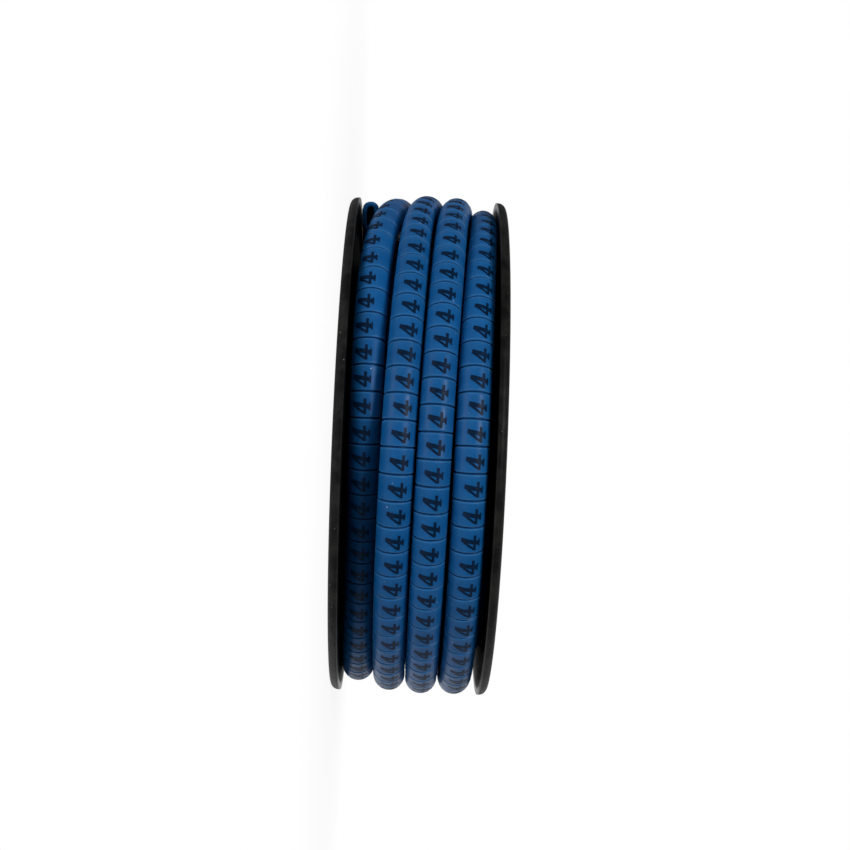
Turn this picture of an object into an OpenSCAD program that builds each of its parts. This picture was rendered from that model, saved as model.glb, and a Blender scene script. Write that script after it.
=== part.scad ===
// A reel of cable markers. The markers are one long soft tube, scored part-way through
// into short sleeves, and wound in layers on a black reel moulded in two identical halves.
// The reel lies on its lower flange with its axis along Z. All sizes are in millimetres.

/* [Reel] */
// Diameter of both flanges
flange_diameter = 100; // [80:1:130]
// Width over both flanges
reel_width = 31; // [26:0.5:45]
// Thickness of each flange
flange_thickness = 1.8; // [1.2:0.1:3]
// Rounding of a flange's outer edge
rim_rounding = 1.4; // [0.5:0.1:2]
// Wall of the hub that the strip is wound on
hub_wall = 1.6; // [1:0.1:3]
// Diameter of the hole for a spindle
spindle_diameter = 16; // [8:0.5:24]
// Wall of the boss around the spindle hole
boss_wall = 1.6; // [1:0.1:3]

/* [Joint between the halves] */
// Diameter of a peg
peg_diameter = 4; // [2:0.1:6]
// How far a peg reaches into the other half
peg_reach = 4; // [2:0.1:8]
// Clearance around a peg and beyond its tip
peg_clearance = 0.15; // [0.05:0.05:0.4]
// Wall of a post around its socket
post_wall = 1.5; // [1:0.1:3]
// Thickness of the ribs that carry the posts
rib_thickness = 1.4; // [0.8:0.1:3]
// How far the ribs stay below the joint
rib_drop = 3; // [1:0.1:8]

/* [Marker strip] */
// Outside diameter of the tube
tube_diameter = 6; // [4:0.1:8]
// Wall of the tube
tube_wall = 0.8; // [0.5:0.05:1.2]
// Length of one marker between two scores
marker_length = 4.6; // [3:0.1:8]
// Width of a score
score_width = 0.3; // [0.15:0.05:0.6]
// Depth of a score
score_depth = 0.3; // [0.1:0.05:0.5]
// Layers of strip on the hub
layers = 2; // [1:1:3]
// Width of the free end, squeezed between its turn and the flange
free_end_width = 2.8; // [2:0.1:5]
// How far the free end reaches past its last half turn, in degrees
free_end_angle = 10; // [0:1:40]

/* [Winding] */
// Clearance between the strip and what lies beside it
turn_gap = 0.05; // [0.02:0.01:0.3]
// Radial slack between two layers
layer_slack = 1.8; // [1.6:0.1:3]
// Slack beside the first turn of the outer layer, across from the free end
side_slack = 0.95; // [0.2:0.05:2]
// How far the middle turns of the outer layer stand above the rim, on the free end's side
crown = 0.6; // [0:0.1:1]
// How far a layer's first turn starts below the layer
first_turn_sink = 2.4; // [0:0.1:2.4]
// How far the last turn sinks beside the flange
last_turn_sink = 2; // [0:0.1:2.4]
// How far the free end lies below the outer layer
free_end_sink = 1; // [0:0.1:2]

/* [Hidden] */
$fn = 96;
tube_fn = 32;
eps = 0.01;

flange_r = flange_diameter / 2;
spindle_r = spindle_diameter / 2;
half_width = reel_width / 2;
boss_r = spindle_r + boss_wall;

// The strip fills the reel to the rim, and the hub is what is left under its layers.
tube_r = tube_diameter / 2;
bore_r = tube_r - tube_wall;
outer_layer_r = flange_r - tube_r;
layer_step = tube_diameter + layer_slack;
function layer_r(layer) = outer_layer_r - layer * layer_step;
hub_r = layer_r(layers - 1) - tube_r - turn_gap;
hub_bore_r = hub_r - hub_wall;

// Six posts stand midway between boss and hub, by turns with a peg and with a socket, so that
// a half turned over meets its twin.
post_count = 6;
socket_r = peg_diameter / 2 + peg_clearance;
post_r = socket_r + post_wall;
post_circle_r = (boss_r + hub_bore_r) / 2;
function post_angle(i) = (i + 0.5) * 360 / post_count;
function has_peg(i) = i % 2 == 0;

// The strip is wound with its free end beside the upper flange, and turned over at the end.
// Across the reel it is placed by its distance from that flange's inner face: near is the
// free end's side of the reel (+X while winding), far the side across from it.
upper_face_z = reel_width - flange_thickness;
lower_face_z = flange_thickness;
beside_flange = tube_r + turn_gap;
travel = upper_face_z - lower_face_z - 2 * beside_flange;
// The last turn leaves room for the squeezed end beside it.
end_room = free_end_width + 5 * turn_gap;
turns = floor((travel - end_room) / (tube_diameter + turn_gap)) + 1;
function near_place(turn) = beside_flange + end_room + turn * (travel - end_room) / (turns - 1);
function far_place(turn) = beside_flange + turn * (travel - side_slack) / (turns - 1);
function inner_far_place(turn) = beside_flange + (turn + 1) * travel / (turns - 1);

// Each half turn runs from the near side by the front (-Y) to the far side, or from there by
// the back to the near side. These are the points [x, z] where one half turn meets the next.
// Layers wind to and fro: the outer one runs up from the lower flange, the next one down.
function across(layer, place) =
    layer % 2 == 1 ? upper_face_z - place : lower_face_z + place;
function starts_reel(layer) = layer == layers - 1;
function inner_layer(layer) = [
    for (turn = [0:turns - 2]) let (climbs = turn == 0 && !starts_reel(layer)) each [
        [layer_r(layer) - (climbs ? first_turn_sink : 0),
            across(layer, climbs ? beside_flange : near_place(turn))],
        [-layer_r(layer), across(layer, inner_far_place(turn))]
    ]
];
outer_layer = [
    for (turn = [turns - 1:-1:0]) each [
        [outer_layer_r - (turn == turns - 1 ? first_turn_sink : turn == 0 ? 0 : -crown),
            upper_face_z - near_place(turn)],
        [-outer_layer_r + (turn == 0 ? last_turn_sink : 0), upper_face_z - far_place(turn)]
    ]
];
free_end = [outer_layer_r - free_end_sink, upper_face_z - turn_gap - free_end_width / 2];
route = concat(
    [for (layer = [layers - 1:-1:1]) each inner_layer(layer)], outer_layer, [free_end]);
tail = len(route) - 2;
first_outer = tail + 1 - len(outer_layer);

function degrees(arc, radius) = arc / radius * 180 / PI;
function bend_r(k) = norm(route[k + 1] - route[k]) / 2;
function markers(k) = round(PI * bend_r(k) / marker_length);
// Half a score is left open at each end of a half turn, and a neck joins the two ends there.
function trim(k) = degrees(score_width / 2, bend_r(k));
neck_length = 4 * score_width;
neck_bore_r = bore_r + (tube_wall - score_depth) / 3;

// Flange seen in section, from the axis out, with its outer face on z = 0
module flange_section() {
    rounding = min(rim_rounding, flange_thickness);
    difference() {
        square([flange_r, flange_thickness]);
        translate([flange_r - rounding, 0]) difference() {
            translate([0, -eps]) square([rounding + eps, rounding + eps]);
            translate([0, rounding]) circle(r = rounding);
        }
    }
}

module tube_wall_ring(outer, inner, from, to) {
    translate([0, 0, from]) difference() {
        cylinder(r = outer, h = to - from);
        translate([0, 0, -eps]) cylinder(r = inner, h = to - from + 2 * eps);
    }
}

module posts() {
    rib_height = half_width - rib_drop;
    for (i = [0:post_count - 1]) rotate([0, 0, post_angle(i)]) {
        translate([post_circle_r, 0, 0]) cylinder(r = post_r, h = half_width);
        translate([boss_r - boss_wall / 2, -rib_thickness / 2, flange_thickness / 2])
            cube([hub_r - boss_r + (boss_wall - hub_wall) / 2, rib_thickness,
                rib_height - flange_thickness / 2]);
        if (has_peg(i)) translate([post_circle_r, 0, half_width - eps]) {
            cylinder(d = peg_diameter, h = peg_reach * 0.75 + eps);
            translate([0, 0, peg_reach * 0.75 + eps])
                cylinder(r1 = peg_diameter / 2, r2 = peg_diameter / 2 - peg_clearance * 3,
                    h = peg_reach * 0.25);
        }
    }
}

module sockets() {
    depth = peg_reach + peg_clearance;
    for (i = [0:post_count - 1]) if (!has_peg(i)) rotate([0, 0, post_angle(i)])
        translate([post_circle_r, 0, half_width - depth]) cylinder(r = socket_r, h = depth + eps);
}

module reel_half() {
    difference() {
        union() {
            rotate_extrude() flange_section();
            tube_wall_ring(hub_r, hub_bore_r, flange_thickness / 2, half_width);
            cylinder(r = boss_r, h = half_width);
            posts();
        }
        translate([0, 0, -eps]) cylinder(r = spindle_r, h = half_width + 2 * eps);
        sockets();
    }
}

module lower_reel_half() {
    color([0.10, 0.10, 0.11]) reel_half();
}

module upper_reel_half() {
    color([0.13, 0.13, 0.14]) translate([0, 0, reel_width]) rotate([180, 0, 0]) reel_half();
}

// Places a half turn's own ring, which starts on local +X and bulges to local +Y
module on_half_turn(k) {
    middle = (route[k] + route[k + 1]) / 2;
    out = route[k] - middle;
    translate([middle[0], 0, middle[1]]) rotate([0, -atan2(out[1], out[0]), 0])
        rotate([k % 2 == 0 ? 180 : 0, 0, 0]) children();
}

// The last half turn before it is squeezed, with its ends moved out by an angle
module last_rod(radius, beyond = 0) {
    from = trim(tail) - beyond;
    on_half_turn(tail) rotate([0, 0, from])
        rotate_extrude(angle = 180 + free_end_angle + beyond - from)
            translate([bend_r(tail), 0]) circle(r = radius, $fn = tube_fn);
}

module bent_tube(k) {
    on_half_turn(k) rotate([0, 0, trim(k)]) rotate_extrude(angle = 180 - 2 * trim(k))
        translate([bend_r(k), 0]) difference() {
            circle(r = tube_r, $fn = tube_fn);
            circle(r = bore_r, $fn = tube_fn);
        }
}

// The scores of a half turn: thin wedges across the tube, hollow where the wall stays whole
module scores(k) {
    step = 180 / markers(k);
    reach = tube_diameter + 1;
    on_half_turn(k) for (i = [1:markers(k) - 1]) rotate([0, 0, i * step - trim(k)]) difference() {
        rotate_extrude(angle = 2 * trim(k))
            translate([bend_r(k) - reach / 2, -reach / 2]) square(reach);
        rotate([0, 0, trim(k)]) translate([bend_r(k), 0, 0]) rotate([90, 0, 0])
            cylinder(r = tube_r - score_depth, h = 4 * score_width, center = true);
    }
}

module neck(k) {
    translate([route[k][0], 0, route[k][1]]) rotate([90, 0, 0])
        tube_wall_ring(tube_r - score_depth, neck_bore_r, -neck_length / 2, neck_length / 2);
}

// The room between the flange and the turn beside it, which narrows towards the free end
module squeeze(wall) {
    far = [-outer_layer_r, upper_face_z - beside_flange - tube_r - turn_gap * 4];
    near = [free_end[0] * cos(free_end_angle), upper_face_z - turn_gap - free_end_width];
    slope = atan2(near[1] - far[1], near[0] - far[0]);
    intersection() {
        translate([-flange_diameter, -flange_diameter, upper_face_z - turn_gap - wall - reel_width])
            cube([2 * flange_diameter, 2 * flange_diameter, reel_width]);
        translate([far[0], 0, far[1]]) rotate([0, -slope, 0])
            translate([-flange_diameter, -flange_diameter, wall])
                cube([4 * flange_diameter, 2 * flange_diameter, reel_width]);
    }
}

module squeezed_end() {
    difference() {
        intersection() {
            last_rod(tube_r);
            squeeze(0);
        }
        intersection() {
            last_rod(bore_r, trim(tail) / 2);
            squeeze(tube_wall);
        }
    }
}

// The reel lies on the flange that the free end is beside, so the winding is turned over.
module marker_strip() {
    color([0.11, 0.36, 0.58]) translate([0, 0, reel_width]) rotate([0, 180, 0]) {
        for (k = [0:first_outer - 1]) bent_tube(k);
        for (k = [first_outer:tail - 1]) difference() {
            bent_tube(k);
            scores(k);
        }
        for (k = [1:tail]) neck(k);
        difference() {
            squeezed_end();
            scores(tail);
        }
    }
}

lower_reel_half();
upper_reel_half();
marker_strip();
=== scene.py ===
# %% [markdown]
# # A reel of cable markers
# The object is a black plastic reel that lies on its lower flange, wound with one long blue tube.
# The tube is scored part-way through every few millimetres, so that short printed sleeves can be
# torn off and pushed over the end of a wire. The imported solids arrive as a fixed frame, in metres
# and with the reel's axis along Z. The reel's two halves keep their own meshes and get a better
# plastic. The wound strip is swept again here, because its scores have soft lips, its print
# follows the bend, and its turns slant and sway where those of the solid are plane.

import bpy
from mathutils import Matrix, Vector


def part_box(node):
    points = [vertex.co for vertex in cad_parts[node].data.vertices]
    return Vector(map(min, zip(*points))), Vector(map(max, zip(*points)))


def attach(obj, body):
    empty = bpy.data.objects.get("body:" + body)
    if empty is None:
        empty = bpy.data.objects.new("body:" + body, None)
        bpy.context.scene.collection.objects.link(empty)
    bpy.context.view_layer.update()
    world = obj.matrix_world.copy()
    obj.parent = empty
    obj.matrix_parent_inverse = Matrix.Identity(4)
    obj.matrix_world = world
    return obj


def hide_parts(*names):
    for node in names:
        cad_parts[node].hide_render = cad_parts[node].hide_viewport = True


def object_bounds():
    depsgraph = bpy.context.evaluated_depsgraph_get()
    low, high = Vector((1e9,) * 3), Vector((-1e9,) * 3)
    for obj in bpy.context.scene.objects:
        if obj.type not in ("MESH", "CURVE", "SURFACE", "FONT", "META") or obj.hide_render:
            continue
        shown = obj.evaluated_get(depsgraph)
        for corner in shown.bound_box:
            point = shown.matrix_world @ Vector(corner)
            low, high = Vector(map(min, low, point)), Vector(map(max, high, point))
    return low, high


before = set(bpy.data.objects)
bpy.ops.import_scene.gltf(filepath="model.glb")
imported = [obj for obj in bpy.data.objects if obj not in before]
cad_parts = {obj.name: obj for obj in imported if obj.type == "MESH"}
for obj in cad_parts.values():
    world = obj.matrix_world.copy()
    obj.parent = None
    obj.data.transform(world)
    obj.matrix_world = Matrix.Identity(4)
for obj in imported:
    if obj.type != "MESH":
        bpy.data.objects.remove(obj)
cad_box = [[float(v) for v in corner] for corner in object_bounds()]

import math

import bpy
import numpy as np
from mathutils import Matrix

MM = 0.001
FLANGE_R = float(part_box("lower_reel_half")[1].x) / MM
REEL_WIDTH = (cad_box[1][2] - cad_box[0][2]) / MM
print(f"flange radius {FLANGE_R:.2f} mm, reel width {REEL_WIDTH:.2f} mm")

# %% [markdown]
# ## The camera
# The picture looks straight at the side of the reel: its axis runs across the image and the
# lower flange is on the left. Where the camera stood was found by fitting the outlines of both
# flanges, so it is given here as the photographer would: how far the reel's middle is to the
# right, below and in front of the lens, and how much the camera was turned and tilted. A matrix
# of three axes says this more safely than three angles do.

# %% Camera
FRAME_PX = 850
FOCAL_PX = 1660.0
SENSOR_MM = 36.0
CAMERA_YAW = math.radians(-0.50)
CAMERA_ROLL = math.radians(2.32)
REEL_FROM_LENS = np.array([-1.40, 4.25, 341.0])

cy, sy = math.cos(CAMERA_YAW), math.sin(CAMERA_YAW)
cr, sr = math.cos(CAMERA_ROLL), math.sin(CAMERA_ROLL)
yaw = np.array([[cy, 0, sy], [0, 1, 0], [-sy, 0, cy]])
roll = np.array([[cr, -sr, 0], [sr, cr, 0], [0, 0, 1]])
# In the image the reel's X points down, its Y away from the lens and its Z to the right.
reel_in_image = np.array([[0, 0, 1], [1, 0, 0], [0, 1, 0]])
to_image = roll @ yaw @ reel_in_image
right, down, away = to_image
lens_at = np.array([0, 0, REEL_WIDTH / 2]) - to_image.T @ REEL_FROM_LENS

camera_data = bpy.data.cameras.new("camera")
camera_data.sensor_width = SENSOR_MM
camera_data.lens = FOCAL_PX * SENSOR_MM / FRAME_PX
camera_data.clip_start = 0.01
camera = bpy.data.objects.new("camera", camera_data)
turned = Matrix(np.column_stack([right, -down, -away]).tolist()).to_4x4()
camera.matrix_world = Matrix.Translation((lens_at * MM).tolist()) @ turned
bpy.context.collection.objects.link(camera)
bpy.context.scene.camera = camera
print(f"camera {np.round(lens_at, 1)} mm from the reel's foot, lens {camera_data.lens:.1f} mm")

# %% [markdown]
# ## The path of the strip
# The strip is wound in two layers, to and fro. A bezier curve could follow it, but a winding is
# easier to compute: it goes round the reel's axis, and its radius and its height are functions
# of the angle. They are given where each half turn meets the next, on the free end's side of
# the reel (-X) and on the far side (+X). The strip steps over to its next place early, soon
# after each meeting point, as a strip does that slips into the groove beside the turn before.

# %% Places where the half turns meet
FLANGE_WALL = 1.8
# The tube is drawn as wide as the picture shows it, which is a little wider than the solid.
TUBE_R, BORE_R = 3.12, 2.2
LAYER_STEP = 7.55
TURN_GAP = 0.05
FREE_END_WIDTH = 3.3
FREE_END_ANGLE = math.radians(10)
FREE_END_LIFT = 0.5

outer_r = FLANGE_R - TUBE_R
inner_r = outer_r - LAYER_STEP
low_face, high_face = FLANGE_WALL, REEL_WIDTH - FLANGE_WALL
# Heights of the outer layer's turns from the upper flange down, and how far each is sunk.
OUTER_NEAR_Z, OUTER_FAR_Z = [26.70, 21.70, 16.00, 10.20], [24.40, 17.85, 11.50, 5.20]
OUTER_NEAR_SINK, OUTER_FAR_SINK = [1.6, -0.65, -0.85, -0.1], [0.0, -0.1, 0.3, 1.9]
INNER_NEAR_Z, INNER_FAR_Z = [7.55, 13.85, 20.15], [11.95, 19.05, 26.15]
FREE_END_SINK = 0.6


def by_turns(near, far):
    """Weaves the values of the near and the far side into one row, in the order of winding."""
    return np.column_stack([near, far]).ravel()


free_end_z = low_face + TURN_GAP + FREE_END_WIDTH / 2
heights = np.concatenate([by_turns(INNER_NEAR_Z, INNER_FAR_Z),
                          by_turns(OUTER_NEAR_Z, OUTER_FAR_Z), [free_end_z]])
radii = np.concatenate([np.full(2 * len(INNER_NEAR_Z), inner_r),
                        outer_r - by_turns(OUTER_NEAR_SINK, OUTER_FAR_SINK),
                        [outer_r - FREE_END_SINK]])
FIRST_OUTER = 2 * len(INNER_NEAR_Z)
TAIL = len(heights) - 2
print(f"{TAIL + 1} half turns, the outer layer starts with number {FIRST_OUTER}")

# %% [markdown]
# Between two meeting points a turn could go over evenly, as a screw does. The real turns lie as
# they were pulled into place: they step over early, sway, and cross the free end's side on a
# slant. So each half turn has a few numbers of its own, which say how it departs from even.

# %% How each half turn departs from even
number = np.arange(TAIL + 1)
on_outer = number >= FIRST_OUTER
on_front = on_outer & (number % 2 == 0)
# How early a half turn steps over, and how early it sinks or rises: 1 is evenly.
height_power = np.where(on_outer, 9.0, np.where(number % 2 == 0, 3.0, 1.0))
height_power[on_front] = [7.0, 5.5, 6.8, 8.5]
radius_power = np.where(on_front, 3.0, 1.0)
radius_power[TAIL - 1] = 1.5
# On its way down the front the last turn drops between the flange and the turn before, and
# both drift sideways a little. The other turns sway: parts of sin t, sin 2t and sin 3t.
# All but the first cross the free end's side on a slant: mm sideways for each radian.
LAST_DIP, LAST_DRIFT, DRIFT_BEFORE = 4.2, 0.6, -0.2
dips = np.where(number == TAIL - 1, LAST_DIP, 0.0)
drifts = np.select([number == TAIL - 1, number == TAIL - 3], [LAST_DRIFT, DRIFT_BEFORE], 0.0)
sways = np.zeros((TAIL + 1, 3))
sways[on_front] = [[0.49, 0.15, 0.07], [0.25, 0.24, 0.01], [0.33, 0.25, 0.03], [0, 0, 0]]
slants = np.zeros(TAIL + 2)
slants[FIRST_OUTER + 2:TAIL:2] = [3.4, 5.5, 5.0]
SLANT_POWER_FRONT, SLANT_POWER_BACK = 12, 40
print(f"slants {slants[FIRST_OUTER + 2:TAIL:2]} mm per radian, dip {LAST_DIP} mm")

# %% [markdown]
# A place on the strip is counted in markers from its inner end, so that 200.5 is the middle of
# the two hundred and first marker. Each half turn holds about as many markers as its length
# gives, and their fractions set how the scores of one turn lie beside those of the next.

# %% From a place on the strip to a point and its directions
INNER_MARKERS = [27, 27, 27, 27, 27, 29.18]
OUTER_MARKERS = [32, 32.47, 32, 32.4, 32, 33.1, 30, 31]
held = np.array(INNER_MARKERS + OUTER_MARKERS)
starts = np.concatenate([[0.0], np.cumsum(held)])
strip_end = starts[TAIL] + held[TAIL] * (1 + FREE_END_ANGLE / math.pi)


def eased(first, last, power, t):
    """A value and its slope on a half turn: last + (first - last) x ((1 + cos t) / 2) ^ power."""
    half = (1 + np.cos(t)) / 2
    value = last + (first - last) * half ** power
    return value, (first - last) * power * half ** (power - 1) * -np.sin(t) / 2


def slanted(slant, power, t):
    """A short slant from t = 0 on, and its slope: slant x sin t x ((1 + cos t) / 2) ^ power."""
    half = (1 + np.cos(t)) / 2
    slope = np.cos(t) * half - power / 2 * np.sin(t) ** 2
    return slant * np.sin(t) * half ** power, slant * slope * half ** (power - 1)


SWELL = 0.85
WAVES = np.arange(1, 4)


def along_strip(place):
    """Position, outward and sideways directions, and number of the half turn at each place.

    On half turn k the angle t goes from 0 to pi, the point is (radius cos, radius sin, height)
    at k half circles plus t from -X, and the tangent is its derivative. Dips and drifts go as
    (1 - cos t) x sin t squared, most below the middle and scaled to about 1 there, and sways as
    sin t, sin 2t and sin 3t, which are 0 where two half turns meet. A slant goes straight
    through a meeting point and dies away on both sides of it. Outward is the direction from the
    reel's axis, made square to the tangent, and sideways is outward x tangent, which points up
    the reel.
    """
    k = np.clip(np.searchsorted(starts, place, side="right") - 1, 0, TAIL)
    t = (place - starts[k]) / held[k] * math.pi
    height, height_slope = eased(heights[k], heights[k + 1], height_power[k], t)
    radius, radius_slope = eased(radii[k], radii[k + 1], radius_power[k], t)
    swell = SWELL * (1 - np.cos(t)) * np.sin(t) ** 2
    swell_slope = SWELL * (np.sin(t) ** 3 + (1 - np.cos(t)) * np.sin(2 * t))
    radius, radius_slope = radius - dips[k] * swell, radius_slope - dips[k] * swell_slope
    height, height_slope = height + drifts[k] * swell, height_slope + drifts[k] * swell_slope
    height = height + (sways[k] * np.sin(np.outer(t, WAVES))).sum(axis=1)
    height_slope = height_slope + (sways[k] * WAVES * np.cos(np.outer(t, WAVES))).sum(axis=1)
    after, after_slope = slanted(slants[k], SLANT_POWER_FRONT, t)
    before, before_slope = slanted(slants[k + 1], SLANT_POWER_BACK, math.pi - t)
    height, height_slope = height - after + before, height_slope - after_slope - before_slope
    round_angle = math.pi * (k + 1) + t
    c, s = np.cos(round_angle), np.sin(round_angle)
    at = np.stack([radius * c, radius * s, height], axis=1)
    tangent = np.stack([radius_slope * c - radius * s, radius_slope * s + radius * c,
                        height_slope], axis=1)
    tangent /= np.linalg.norm(tangent, axis=1, keepdims=True)
    out = np.stack([c, s, np.zeros(len(c))], axis=1)
    out = out - np.sum(out * tangent, axis=1, keepdims=True) * tangent
    out /= np.linalg.norm(out, axis=1, keepdims=True)
    return at, out, np.cross(out, tangent), k


middle_of_turns = along_strip(starts[FIRST_OUTER:TAIL:2] + held[FIRST_OUTER:TAIL:2] / 2)[0]
print("turns cross the front at z =", np.round(middle_of_turns[:, 2], 2), "mm")

# %% [markdown]
# ## The wound strip
# The sleeves are one extruded PVC tube. A blade has scored it all round, so each score is a
# narrow groove whose lips stand up slightly. Modelling one sleeve and repeating it along a
# curve would need bending modifiers. Here a ring of points is carried along the path instead,
# and its radius follows a profile that repeats in every marker: groove, lip, plain wall, lip.
# The inner layer is left plain: little of it is seen, apart from the half turn on the back that
# rises to the outer layer.

# %% Profile of one marker
SIDES = 24
MARKER_MM = math.pi * outer_r / OUTER_MARKERS[0]
GROOVE = 0.40
# Distance from the middle of a score, how proud the wall is there, how much paler lip, and how much
# painted shade at the groove's bottom.
FROM_SCORE = np.array([0.0, 0.12, 0.17, 0.27, 0.50])
PROUD = np.array([-GROOVE, -GROOVE, -0.06, 0.03, 0.005])
LIP = np.array([0.0, 0.0, 0.8, 1.0, 0.25])
# The last row paints shade: how much of the dark groove colour each ring gets.
GROOVE_SHADE = np.array([1.0, 1.0, 0.0, 0.0, 0.0])


def mirrored(values):
    """A marker's profile: half of it, 0 in its middle, and the half mirrored without the score."""
    return np.concatenate([values, [0.0], values[:0:-1]])


profile_at = np.concatenate([FROM_SCORE / MARKER_MM, [0.5], 1 - FROM_SCORE[:0:-1] / MARKER_MM])
profile_proud, profile_lip, profile_groove_shade = mirrored(PROUD), mirrored(LIP), mirrored(GROOVE_SHADE)
print(f"{len(profile_at)} rings in each marker of {MARKER_MM:.2f} mm")

# %% Where the rings lie
END_LIP = 0.5
first_scored = math.ceil(starts[FIRST_OUTER])
last_scored = math.floor(strip_end)
scored = np.arange(first_scored, last_scored)
plain_rings = np.arange(0, first_scored, 0.5)
outside_at = np.concatenate([plain_rings, (scored[:, None] + profile_at).ravel(),
                             [last_scored, strip_end]])
blank = np.zeros(len(plain_rings))
ends = np.zeros(2)
outside_proud = np.concatenate([blank, np.tile(profile_proud, len(scored)), ends])
outside_lip = np.concatenate([blank, np.tile(profile_lip, len(scored)), ends + END_LIP])
outside_groove_shade = np.concatenate([blank, np.tile(profile_groove_shade, len(scored)), ends])
bore_at = np.concatenate([np.arange(last_scored + 1), [strip_end]])
print(f"scored markers {first_scored} to {last_scored}, free end at {strip_end:.2f}")

# %% [markdown]
# The tube is soft, so turns that press on each other go flat. A lattice could squeeze the
# finished mesh, but here it is done ring by ring: each place on the strip has a width along the
# reel, and a narrower tube gets straight flanks. The last half turn has the least room, between
# its neighbour and the flange, and its open end shows the bore.

# %% How flat the strip is pressed
NEAR_SQUEEZE = [1.3, 0.3, 0.5, 0.45]
FRONT_SPAN, BACK_SPAN = 0.8, 2.0
FAR_SPARE = 5 * TURN_GAP
LIFT_POWER = 14
# Half a flank for each millimetre of radius lost: half pi would keep the whole girth.
FLANK = 0.3 * math.pi


def squeezed(place):
    """Width of the strip along the reel, and how far its middle moves to stay off the flanges.

    On the last half turn the room narrows evenly in X from a full tube at the far side to the
    free end's width, and the strip lies against the lower flange there, but for its very end,
    which lifts off with the fourteenth power of the way along. On the free end's side the outer
    turns press on each other and on the upper flange: each one's width dips there as a bell
    curve of the angle, which is wider on the back.
    """
    at, _, _, k = along_strip(place)
    near_x = -radii[-1] * math.cos(FREE_END_ANGLE)
    full = 2 * TUBE_R
    room = FREE_END_WIDTH + (full + FAR_SPARE - FREE_END_WIDTH) * (
        (at[:, 0] - near_x) / (outer_r - near_x))
    width = np.where(k == TAIL, np.clip(room, FREE_END_WIDTH, full), full)
    for turn, squeeze in enumerate(NEAR_SQUEEZE):
        past_near = (place - starts[FIRST_OUTER + 2 * turn]) / held[FIRST_OUTER] * math.pi
        span = np.where(past_near < 0, BACK_SPAN, FRONT_SPAN)
        width = width - squeeze * np.exp(-(past_near / span) ** 2)
    along_last = np.clip((place - starts[TAIL]) / held[TAIL], 0, 1)
    off_flange = TURN_GAP + FREE_END_LIFT * along_last ** LIFT_POWER
    lowest = low_face + off_flange + width / 2 - at[:, 2]
    highest = high_face - TURN_GAP - width / 2 - at[:, 2]
    return width, np.where(k == TAIL, lowest, np.minimum(highest, 0.0))


def on_tube(place, radius, angle):
    """Points at an angle round the tube: on a circle, or a flattened one of less girth.

    A flattened tube has round caps as wide as its room and straight flanks between them, so a
    point at angle a lies at cap x cos a + flank x clip(3 cos a) outwards and cap x sin a sideways.
    """
    at, out, side, _ = along_strip(place)
    width, shift = squeezed(place)
    cap = width / 2 - TUBE_R + radius
    flank = (TUBE_R - width / 2) * FLANK
    outward = cap * np.cos(angle) + flank * np.clip(3 * np.cos(angle), -1, 1)
    return (at + shift[:, None] * [0, 0, 1] + outward[:, None] * out
            + (cap * np.sin(angle))[:, None] * side)


widths = squeezed(starts[FIRST_OUTER:])[0]
print("widths where the outer half turns meet:", np.round(widths, 2), "mm")

# %% Rings of the outside and of the bore
def rings(place, radius):
    """Rings of points round the path, one at each place, with SIDES points evenly round it."""
    angle = np.linspace(0, 2 * math.pi, SIDES, endpoint=False)
    every_angle = np.tile(angle, len(place))
    points = on_tube(np.repeat(place, SIDES), np.repeat(radius, SIDES), every_angle)
    return points.reshape(len(place), SIDES, 3)


outside = rings(outside_at, TUBE_R + outside_proud)
bore = rings(bore_at, np.full(len(bore_at), BORE_R))
print(f"{len(outside)} rings outside, {len(bore)} in the bore, {len(scored)} scored markers")

# %% One closed mesh
def ring_faces(rows, first, inward=False):
    """Quads between neighbouring rings: (i, j), (i+1, j), (i+1, j+1), (i, j+1), j going round."""
    i, j = np.meshgrid(np.arange(rows - 1), np.arange(SIDES), indexing="ij")
    j2 = (j + 1) % SIDES
    quads = np.stack([i * SIDES + j, (i + 1) * SIDES + j, (i + 1) * SIDES + j2,
                      i * SIDES + j2], axis=-1).reshape(-1, 4) + first
    return quads[:, ::-1] if inward else quads


def joined_rings(ring_a, ring_b):
    """Quads between two rings of point numbers, which close the wall at an end of the tube."""
    return np.stack([ring_a, ring_b, np.roll(ring_b, -1), np.roll(ring_a, -1)], axis=1)


def mesh_object(name, vertices, faces, material, smooth=True):
    """Puts arrays of points in millimetres and of quads into a new mesh object at the origin."""
    mesh = bpy.data.meshes.new(name)
    mesh.from_pydata((vertices * MM).tolist(), [], faces.tolist())
    mesh.polygons.foreach_set("use_smooth", np.full(len(faces), smooth))
    mesh.materials.append(material)
    mesh.update()
    piece = bpy.data.objects.new(name, mesh)
    bpy.context.collection.objects.link(piece)
    return piece


def add_values(piece, name, values):
    """Stores one number per point, which a material can read by this name."""
    layer = piece.data.attributes.new(name, "FLOAT", "POINT")
    layer.data.foreach_set("value", np.ascontiguousarray(values, dtype=np.float32))


bore_first = outside.shape[0] * SIDES
round_ring = np.arange(SIDES)
last_out, last_in = bore_first - SIDES, bore_first + (len(bore) - 1) * SIDES
strip_points = np.concatenate([outside.reshape(-1, 3), bore.reshape(-1, 3)])
strip_faces = np.concatenate([
    ring_faces(len(outside), 0),
    ring_faces(len(bore), bore_first, inward=True),
    joined_rings(round_ring + last_out, round_ring + last_in),
    joined_rings(round_ring + bore_first, round_ring),
])
pvc = bpy.data.materials.new("blue_soft_pvc")
strip = mesh_object("wound_marker_strip", strip_points, strip_faces, pvc)
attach(strip, "root")
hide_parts("marker_strip")
print(f"strip: {len(strip_faces)} quads")

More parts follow.
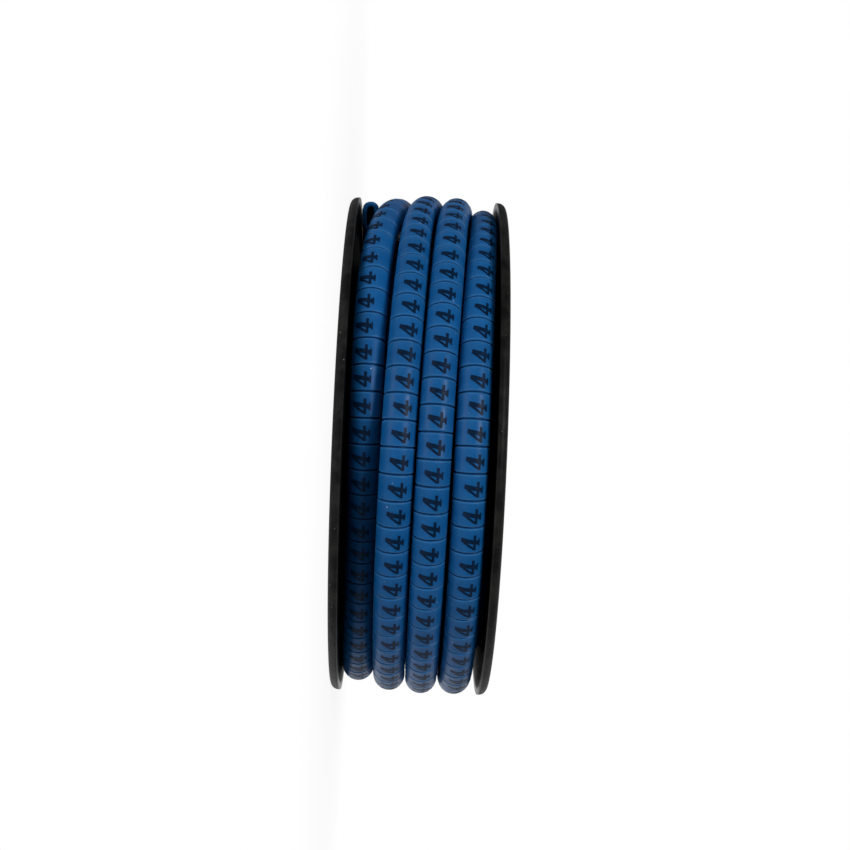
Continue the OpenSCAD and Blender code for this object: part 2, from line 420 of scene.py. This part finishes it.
# %% Values that the plastic reads
TONE_LIMIT = 1.6
chance = np.random.default_rng(7)
marker_tone = chance.normal(0.0, 1.0, int(strip_end) + 2).clip(-TONE_LIMIT, TONE_LIMIT)
bore_blank = np.zeros(bore.shape[0] * SIDES)
tone = np.concatenate([np.repeat(marker_tone[outside_at.astype(int)], SIDES), bore_blank])
add_values(strip, "tone", tone)
add_values(strip, "lip", np.concatenate([np.repeat(outside_lip, SIDES), bore_blank]))
# The score values carry the painted shade of the grooves' bottoms.
add_values(strip, "score", np.concatenate([np.repeat(outside_groove_shade, SIDES), bore_blank]))
print("values per point: tone, lip, score")

# %% [markdown]
# ## Blue soft PVC
# The tube has a satin skin: an even deep blue, a broad soft shine, and small differences from
# sleeve to sleeve where the extruded tube stretched. The lips of the scores are a little paler,
# because cut PVC whitens, and shade is painted into the grooves as a darker blue. Deep between
# the turns shade is painted too: the blue is dark and has no shine there, where hardly any light
# gets in. All of this is worked out from Object coordinates and from the values stored with the
# points, so it needs no picture.

# %% Helpers for materials
def add_node(tree, kind, inputs=None, **settings):
    """Adds a shader node, sets its options, and links or fills its inputs."""
    node = tree.nodes.new(kind)
    for name, value in settings.items():
        setattr(node, name, value)
    for name, value in (inputs or {}).items():
        if isinstance(value, bpy.types.NodeSocket):
            tree.links.new(value, node.inputs[name])
        else:
            node.inputs[name].default_value = value
    return node


def noise(tree, where, scale, detail=2.0, rough=0.5):
    """A cloud pattern with about this many clouds to the metre."""
    return add_node(tree, "ShaderNodeTexNoise", {
        "Vector": where, "Scale": scale, "Detail": detail, "Roughness": rough}).outputs["Fac"]


def remap(tree, value, low, high, to_low=0.0, to_high=1.0):
    """Stretches the range low..high of a value to to_low..to_high and stops at its ends."""
    return add_node(tree, "ShaderNodeMapRange", {
        "Value": value, "From Min": low, "From Max": high,
        "To Min": to_low, "To Max": to_high}).outputs["Result"]


def blend_colours(tree, amount, first, second):
    """Goes from the first colour to the second as the amount goes from 0 to 1."""
    return add_node(tree, "ShaderNodeMix", {0: amount, 6: first, 7: second},
                    data_type="RGBA").outputs[2]


def blend_values(tree, amount, first, second):
    """Goes from the first number to the second as the amount goes from 0 to 1."""
    return add_node(tree, "ShaderNodeMix", {0: amount, 2: first, 3: second}).outputs[0]


def times(tree, first, second):
    """The product of two numbers."""
    return add_node(tree, "ShaderNodeMath", {0: first, 1: second},
                    operation="MULTIPLY").outputs[0]


def larger(tree, first, second):
    """The larger of two numbers."""
    return add_node(tree, "ShaderNodeMath", {0: first, 1: second},
                    operation="MAXIMUM").outputs[0]


def start_material(material):
    """Opens a material and gives its node tree, its shader and its Object coordinates."""
    material.use_nodes = True
    tree = material.node_tree
    where = add_node(tree, "ShaderNodeTexCoord").outputs["Object"]
    return tree, tree.nodes["Principled BSDF"], where


def off_axis(tree, where):
    """Distance of a place from the reel's axis."""
    level = add_node(tree, "ShaderNodeVectorMath", {0: where, 1: (1, 1, 0)},
                     operation="MULTIPLY").outputs["Vector"]
    return add_node(tree, "ShaderNodeVectorMath", {0: level}, operation="LENGTH").outputs["Value"]


def stored(tree, name):
    """Reads a number that is stored with the points of the piece."""
    return add_node(tree, "ShaderNodeAttribute", attribute_name=name).outputs["Fac"]


print("helpers ready")

# %% Satin blue of the tube
BLUE = (0.0035, 0.082, 0.255, 1)
DEEP_BLUE = (0.0028, 0.068, 0.215, 1)
PALE_BLUE = (0.040, 0.170, 0.39, 1)
# Painted shade: the first of the next two blues darkens the bottoms of the grooves, the second the
# tube deep between the turns, where little light reaches.
GROOVE_SHADE_BLUE = (0.002, 0.016, 0.055, 1)
PAINTED_SHADE_BLUE = (0.001, 0.020, 0.070, 1)
SPECK_WHITE = (0.50, 0.56, 0.62, 1)
# How much paler the lips are, and how strongly shade is painted into the grooves.
LIP_PALENESS, GROOVE_SHADE_DARKNESS = 0.45, 0.75
# The shade painted deep between the turns fades out this many millimetres nearer the axis than the
# middle of the outer turns.
PAINTED_SHADE_BELOW = 0.4
SATIN_SHINE = 0.11

tree, shader, where = start_material(pvc)
clouds = noise(tree, where, 320, 3.0)
sleeve = remap(tree, stored(tree, "tone"), -TONE_LIMIT, TONE_LIMIT, 0.1, 0.9)
body = blend_colours(tree, sleeve, BLUE, DEEP_BLUE)
body = blend_colours(tree, remap(tree, clouds, 0.45, 0.75, 0.0, 0.35), body, DEEP_BLUE)
rubbed = remap(tree, noise(tree, where, 900, 4.0, 0.6), 0.60, 0.78, 0.0, 0.25)
body = blend_colours(tree, rubbed, body, PALE_BLUE)
body = blend_colours(tree, times(tree, stored(tree, "lip"), LIP_PALENESS), body, PALE_BLUE)
# Painted shade: the bottoms of the grooves get a dark blue.
body = blend_colours(tree, times(tree, stored(tree, "score"), GROOVE_SHADE_DARKNESS), body, GROOVE_SHADE_BLUE)
specks = remap(tree, noise(tree, where, 2600, 1.0), 0.80, 0.83)
body = blend_colours(tree, specks, body, SPECK_WHITE)
# Painted shade: from the inner layer's outside up to just inside the outer turns, the blue goes
# dark where hardly any light gets in.
painted_shade = remap(tree, off_axis(tree, where), (inner_r + TUBE_R) * MM,
               (outer_r - PAINTED_SHADE_BELOW) * MM, 1.0, 0.0)
body = blend_colours(tree, painted_shade, body, PAINTED_SHADE_BLUE)
tree.links.new(body, shader.inputs["Base Color"])
gloss = remap(tree, noise(tree, where, 700, 3.0), 0.3, 0.7, 0.30, 0.42)
tree.links.new(gloss, shader.inputs["Roughness"])
skin = noise(tree, where, 1500, 3.0, 0.6)
relief = add_node(tree, "ShaderNodeBump", {"Height": skin, "Strength": 0.12, "Distance": 0.0002})
tree.links.new(relief.outputs["Normal"], shader.inputs["Normal"])
# Where that shade is painted, the shine goes too.
shine = remap(tree, painted_shade, 0.0, 1.0, SATIN_SHINE, 0.0)
tree.links.new(shine, shader.inputs["Specular IOR Level"])
print("material", pvc.name)

# %% [markdown]
# ## The print on the markers
# Every marker of a strip carries the same printed character, so that all of them can mark one
# conductor. Here it is a plain numeral four. It is turned a quarter, with its top towards the
# lower flange, and reads along the tube. Text objects would have to be bent round the tube one
# by one. Four strokes, written once in flat millimetres and wrapped round every sleeve by the
# same path, are lighter and stay crisp. They are thin slabs that sink into the wall, so that the
# mesh is closed.

# %% Strokes of the numeral
# Each row: reading direction and height of both ends, width, pieces along the stroke.
STROKES = [
    (1.10, 0.00, 1.70, 3.50, 0.76, 6),
    (1.56, 3.45, 0.03, 1.10, 0.42, 4),
    (-0.14, 1.02, 2.50, 1.02, 0.52, 1),
    (0.55, 0.15, 1.84, 0.15, 0.30, 1),
]
NUMERAL_MIDDLE = np.array([1.18, 1.75])
# The share of a marker at which the numeral's middle lies.
PRINT_PLACE = 0.57
INK_TOP, INK_FOOT = 0.022, -0.10


def stroke_slab(u0, v0, u1, v1, width, pieces):
    """Points (reading direction, height, proud of the wall) and quads of one straight stroke.

    The centre line goes evenly from one end to the other. At each step four corners lie half a
    width to its left and right, at the ink's top and foot. Quads join the steps and close both
    ends.
    """
    step = np.linspace(0, 1, pieces + 1)[:, None]
    line = (1 - step) * [u0, v0] + step * [u1, v1]
    ahead = np.array([u1 - u0, v1 - v0])
    left = np.array([-ahead[1], ahead[0]]) / np.linalg.norm(ahead) * width / 2
    corner_side = np.array([1, -1, -1, 1])
    corner_proud = np.array([INK_TOP, INK_TOP, INK_FOOT, INK_FOOT])
    flat = line[:, None] + corner_side[None, :, None] * left
    proud = np.broadcast_to(corner_proud, (pieces + 1, 4))
    corners = np.concatenate([flat, proud[..., None]], axis=2).reshape(-1, 3)
    i, j = np.meshgrid(np.arange(pieces), np.arange(4), indexing="ij")
    j2 = (j + 1) % 4
    flanks = np.stack([i * 4 + j, i * 4 + j2, (i + 1) * 4 + j2, (i + 1) * 4 + j], axis=-1)
    caps = np.array([[3, 2, 1, 0], np.arange(4) + 4 * pieces])
    return corners, np.concatenate([flanks.reshape(-1, 4), caps])


slabs = [stroke_slab(*row) for row in STROKES]
offsets = np.concatenate([[0], np.cumsum([len(c) for c, _ in slabs])])
numeral = np.concatenate([corners for corners, _ in slabs])
numeral_faces = np.concatenate([quads + o for (_, quads), o in zip(slabs, offsets)])
print(f"numeral: {len(numeral)} points, {len(numeral_faces)} quads")

# %% [markdown]
# The strip twists a little as it is wound, so the print wanders round the tube. The angle of
# its middle from straight outwards is given where the half turns meet, in degrees towards the
# upper flange, and changes evenly between them.

# %% Wrap the numeral round every sleeve
PRINT_TURN = np.radians([22, 2, 7, -2, 14, 2, -36, 8, 0])
printed = scored[:-1]
flat = numeral[:, :2] - NUMERAL_MIDDLE
print_at = (printed[:, None] + PRINT_PLACE - flat[:, 0] / MARKER_MM).ravel()
twist = np.interp(print_at, starts[FIRST_OUTER:], PRINT_TURN)
angle = twist - np.tile(flat[:, 1], len(printed)) / TUBE_R
wrapped = on_tube(print_at, TUBE_R + np.tile(numeral[:, 2], len(printed)), angle)
copies = np.arange(len(printed))
print_faces = (numeral_faces[None] + len(numeral) * copies[:, None, None]).reshape(-1, 4)
ink = bpy.data.materials.new("black_marking_ink")
legends = mesh_object("marker_numerals", wrapped, print_faces, ink, smooth=False)
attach(legends, "root")
print(f"{len(printed)} numerals, {len(print_faces)} quads")

# %% [markdown]
# The ink is a matt blue-black that lets a little of the blue through where the printing wheel
# pressed lightly.

# %% Marking ink
INK = (0.0006, 0.009, 0.028, 1)
THIN_INK = (0.001, 0.018, 0.058, 1)
INK_SHINE = 0.09
tree, shader, where = start_material(ink)
patchy = remap(tree, noise(tree, where, 1900, 3.0, 0.6), 0.45, 0.75)
tree.links.new(blend_colours(tree, patchy, INK, THIN_INK), shader.inputs["Base Color"])
tree.links.new(remap(tree, patchy, 0.0, 1.0, 0.46, 0.36), shader.inputs["Roughness"])
shader.inputs["Specular IOR Level"].default_value = INK_SHINE
print("material", ink.name)

# %% [markdown]
# ## Black moulded plastic of the reel
# Both halves are moulded in black polystyrene with a fine matt texture. On the real reel the
# rims are scuffed to a dull grey, a few fine scratches cross the faces, and dust sits on them as
# tiny pale specks. The halves keep the meshes of the solids, so everything is in the material:
# distance from the reel's axis finds the rim, and stretched clouds make the scratches. Inside,
# the faces are dull, and only their outermost ring is rubbed smooth by the strip.

# %% Colour of the reel
REEL_BLACK = (0.0028, 0.0028, 0.0027, 1)
WORN_BLACK = (0.018, 0.018, 0.017, 1)
DUST = (0.30, 0.30, 0.29, 1)
# Millimetres inside the flange's edge.
SCUFFS_FROM, SCUFFS_TO = 1.2, 0.1

plastic = bpy.data.materials.new("black_moulded_plastic")
tree, shader, where = start_material(plastic)
from_axis = off_axis(tree, where)
rim = remap(tree, from_axis, (FLANGE_R - SCUFFS_FROM) * MM, (FLANGE_R - SCUFFS_TO) * MM)
blotches = remap(tree, noise(tree, where, 260, 4.0, 0.6), 0.42, 0.70)
scuffed = times(tree, rim, blotches)
streaks_at = add_node(tree, "ShaderNodeMapping", {"Vector": where, "Scale": (260, 2600, 1800),
                      "Rotation": (0.3, 0.2, 0.7)}).outputs["Vector"]
scratches = remap(tree, noise(tree, streaks_at, 1.0, 2.0), 0.70, 0.76, 0.0, 0.5)
specks = remap(tree, noise(tree, where, 2300, 1.0), 0.79, 0.82)
body = blend_colours(tree, scuffed, REEL_BLACK, WORN_BLACK)
body = blend_colours(tree, scratches, body, WORN_BLACK)
body = blend_colours(tree, specks, body, DUST)
tree.links.new(body, shader.inputs["Base Color"])
print("reel colours: scuffs, scratches and dust on black")

# %% Finish of the reel
OUTSIDE_SHINE, DULL_SHINE, RUBBED_SHINE = 0.10, 0.03, 0.24
DULL_FACE, RUBBED_RING = 1.1, 0.66
# Millimetres inside the flange's edge, and into the wall from its inner face.
RING_FROM, RING_TO = 1.7, 1.0
FACE_FROM, FACE_TO = 0.10, 0.25
grain = noise(tree, where, 4200, 2.0, 0.6)
face_at = REEL_WIDTH / 2 - FLANGE_WALL
above = add_node(tree, "ShaderNodeSeparateXYZ", {0: where}).outputs["Z"]
from_middle = add_node(tree, "ShaderNodeMath", {0: above, 1: REEL_WIDTH / 2 * MM},
                       operation="SUBTRACT").outputs[0]
from_middle = add_node(tree, "ShaderNodeMath", {0: from_middle}, operation="ABSOLUTE").outputs[0]
inside = remap(tree, from_middle, (face_at + FACE_FROM) * MM, (face_at + FACE_TO) * MM, 1.0, 0.0)
edge = remap(tree, from_axis, (FLANGE_R - RING_FROM) * MM, (FLANGE_R - RING_TO) * MM)
matt = remap(tree, grain, 0.3, 0.7, 0.42, 0.58)
rubbed = remap(tree, edge, 0.0, 1.0, DULL_FACE, RUBBED_RING)
roughness = times(tree, matt, blend_values(tree, inside, 1.0, rubbed))
face_shine = remap(tree, edge, 0.0, 1.0, DULL_SHINE, RUBBED_SHINE)
shine = blend_values(tree, inside, OUTSIDE_SHINE, face_shine)
tree.links.new(roughness, shader.inputs["Roughness"])
tree.links.new(shine, shader.inputs["Specular IOR Level"])
relief = add_node(tree, "ShaderNodeBump", {"Height": grain, "Strength": 0.25, "Distance": 0.0001})
tree.links.new(relief.outputs["Normal"], shader.inputs["Normal"])

for name in ("lower_reel_half", "upper_reel_half"):
    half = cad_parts[name]
    half.data.materials.clear()
    half.data.materials.append(plastic)
print("material", plastic.name)

# %% [markdown]
# ## Floor, background and light
# The picture is a plain product shot on white. The floor is a large pale sheet under the reel.
# Seen by the camera, floor and world are plain white, and near the reel a part of the floor's own
# shading is kept so that its shadow stays. Shiny surfaces mirror that white too, but less of it
# towards the table, and hardly any towards the camera and the top, where the studio is dim, so
# that the reel's rims stay black and the crests of the turns stay blue. As light, the world is only
# a soft fill from behind, so that the white background does not flood the object. One soft lamp
# on each side gives the bands of shine along the turns and leaves the grooves between them dark.
# The left one stands under the floor and shines through the sheet. One above is not mirrored,
# and a weak one below plays a white table's bounce.

# %% World
FILL = 0.38
DIM_ROOM, DIM_TOP, DIM_TABLE = 0.08, 0.15, 0.7
PURE_WHITE = (1, 1, 1, 1)

world = bpy.data.worlds.new("white_studio")
bpy.context.scene.world = world
world.use_nodes = True
tree = world.node_tree
tree.nodes.clear()


def seen_as_background(tree):
    """Two numbers, 1 or 0: seen directly; seen directly, mirrored or through something clear."""
    ray = add_node(tree, "ShaderNodeLightPath").outputs
    mirrored_or_seen = larger(tree, ray["Is Camera Ray"], ray["Is Glossy Ray"])
    return ray["Is Camera Ray"], larger(tree, mirrored_or_seen, ray["Is Transmission Ray"])


seen, seen_or_mirrored = seen_as_background(tree)
direction = add_node(tree, "ShaderNodeTexCoord").outputs["Generated"]
# Each ramp goes over a range of a direction's part along X, down, or along Y, away from the lens.
along = add_node(tree, "ShaderNodeSeparateXYZ", {0: direction}).outputs
upright = times(tree, remap(tree, along["X"], -0.45, 0.1, DIM_TOP, 1.0),
                remap(tree, along["X"], 0.1, 0.5, 1.0, DIM_TABLE))
room = times(tree, remap(tree, along["Y"], -0.6, 0.3, DIM_ROOM, 1.0), upright)
from_behind = remap(tree, along["Y"], -0.1, 0.7, DIM_ROOM * FILL, FILL)
fill = add_node(tree, "ShaderNodeBackground", {"Color": PURE_WHITE, "Strength": from_behind})
white = add_node(tree, "ShaderNodeBackground", {
    "Color": PURE_WHITE, "Strength": larger(tree, room, seen)})
either = add_node(tree, "ShaderNodeMixShader", {
    0: seen_or_mirrored, 1: fill.outputs[0], 2: white.outputs[0]})
add_node(tree, "ShaderNodeOutputWorld", {"Surface": either.outputs[0]})
print("world", world.name)

# %% Floor
FLOOR_HALF, FLOOR_DROP = 1500.0, 0.05
FLOOR_SHADOW = 0.10
SHADOW_FADES_FROM, SHADOW_FADES_TO = 0.055, 0.12
PAPER = (0.86, 0.86, 0.86, 1)
# Across the floor, from the top of the picture to its foot and a little away from the camera.
DOWN_THE_FLOOR = (1, 0.35, 0)
GLOW_DIMS_FROM, GLOW_DIMS_TO = 0.0, -0.07

sheet = bpy.data.materials.new("white_paper_floor")
sheet.use_nodes = True
tree = sheet.node_tree
tree.nodes.clear()
paper = add_node(tree, "ShaderNodeBsdfDiffuse", {"Color": PAPER})
where = add_node(tree, "ShaderNodeTexCoord").outputs["Object"]
from_top = add_node(tree, "ShaderNodeVectorMath", {0: where, 1: DOWN_THE_FLOOR},
                    operation="DOT_PRODUCT").outputs["Value"]
mirrored_glow = remap(tree, from_top, GLOW_DIMS_TO, GLOW_DIMS_FROM, DIM_TOP, 1.0)
seen, seen_or_mirrored = seen_as_background(tree)
glow = add_node(tree, "ShaderNodeEmission", {
    "Color": PURE_WHITE, "Strength": larger(tree, mirrored_glow, seen)})
from_reel = add_node(tree, "ShaderNodeVectorMath", {0: where}, operation="LENGTH").outputs["Value"]
shadow_share = remap(tree, from_reel, SHADOW_FADES_FROM, SHADOW_FADES_TO, FLOOR_SHADOW, 0.0)
kept_shadow = add_node(tree, "ShaderNodeMixShader", {
    0: shadow_share, 1: glow.outputs[0], 2: paper.outputs[0]})
either = add_node(tree, "ShaderNodeMixShader", {
    0: seen_or_mirrored, 1: paper.outputs[0], 2: kept_shadow.outputs[0]})
add_node(tree, "ShaderNodeOutputMaterial", {"Surface": either.outputs[0]})
corners = np.array([[-1, -1, 0], [1, -1, 0], [1, 1, 0], [-1, 1, 0]]) * FLOOR_HALF
floor = mesh_object("floor", corners - [0, 0, FLOOR_DROP], np.array([[0, 1, 2, 3]]), sheet)
floor.visible_shadow = False
print("floor", sheet.name)

# %% Soft lamps
REEL_MIDDLE = np.array([0, 0, REEL_WIDTH / 2]) * MM
LAMP_DISTANCE = 0.60


def soft_lamp(name, direction, size, watts, reflected=True):
    """A square lamp that faces the reel from a direction, and may be left out of reflections."""
    lamp = bpy.data.lights.new(name, "AREA")
    lamp.size, lamp.energy = size, watts
    towards = np.array(direction) / np.linalg.norm(direction)
    holder = bpy.data.objects.new(name, lamp)
    place = REEL_MIDDLE + towards * LAMP_DISTANCE
    facing = Matrix.Translation(place.tolist())
    up = np.array([0.0, 1.0, 0.0])
    side = np.cross(up, towards)
    side /= np.linalg.norm(side)
    axes = np.column_stack([side, np.cross(towards, side), towards])
    holder.matrix_world = facing @ Matrix(axes.tolist()).to_4x4()
    holder.visible_glossy = reflected
    bpy.context.collection.objects.link(holder)
    return holder


lamps = [
    soft_lamp("right_softbox", (-0.20, -0.72, 0.65), 0.18, 2.2),
    soft_lamp("left_softbox", (-0.25, -0.54, -0.80), 0.24, 1.3),
    soft_lamp("top_softbox", (-0.78, -0.45, 0.10), 0.40, 0.65, reflected=False),
    soft_lamp("table_bounce", (0.97, -0.10, 0.20), 0.50, 0.3),
]
print([lamp.name for lamp in lamps])

# %% [markdown]
# ## Finish
# The strip and its print have to stay inside the box of the solids. The picture is made with the
# Standard view transform.

# %% Finish
bpy.context.scene.view_settings.view_transform = "Standard"
